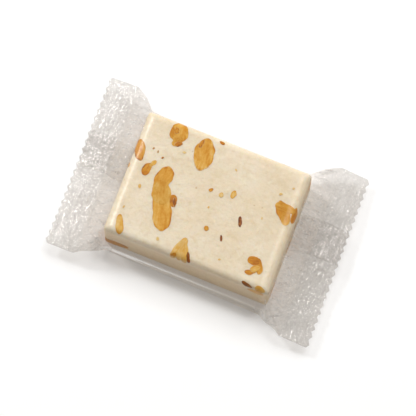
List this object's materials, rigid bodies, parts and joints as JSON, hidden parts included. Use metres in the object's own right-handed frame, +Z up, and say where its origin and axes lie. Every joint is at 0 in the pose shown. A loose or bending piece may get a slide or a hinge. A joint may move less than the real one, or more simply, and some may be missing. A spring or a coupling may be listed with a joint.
{
  "type": "wrapped nougat block",
  "caption": "Cut block of cream nougat with peanuts, sealed in a clear flow wrap with ribbed end seals and zigzag-cut ends, lying on its back seam.",
  "frame": {"origin": "middle of the underside, on the surface that the sweet lies on, under the middle of the wrapper's bounding box", "axes": "+X along the wrapper from one end seal to the other, +Y across it towards the back, +Z up"},
  "size_m": [0.0642, 0.0406, 0.0115],
  "materials": {
    "film_over_nougat": "gloss",
    "clear_film": "clear gloss",
    "nougat": "matte",
    "peanut": "satin",
    "peanut_skin": "matte"
  },
  "bodies": {
    "root": {"wrapped_nougat": "film_over_nougat"}
  },
  "joints": []
}
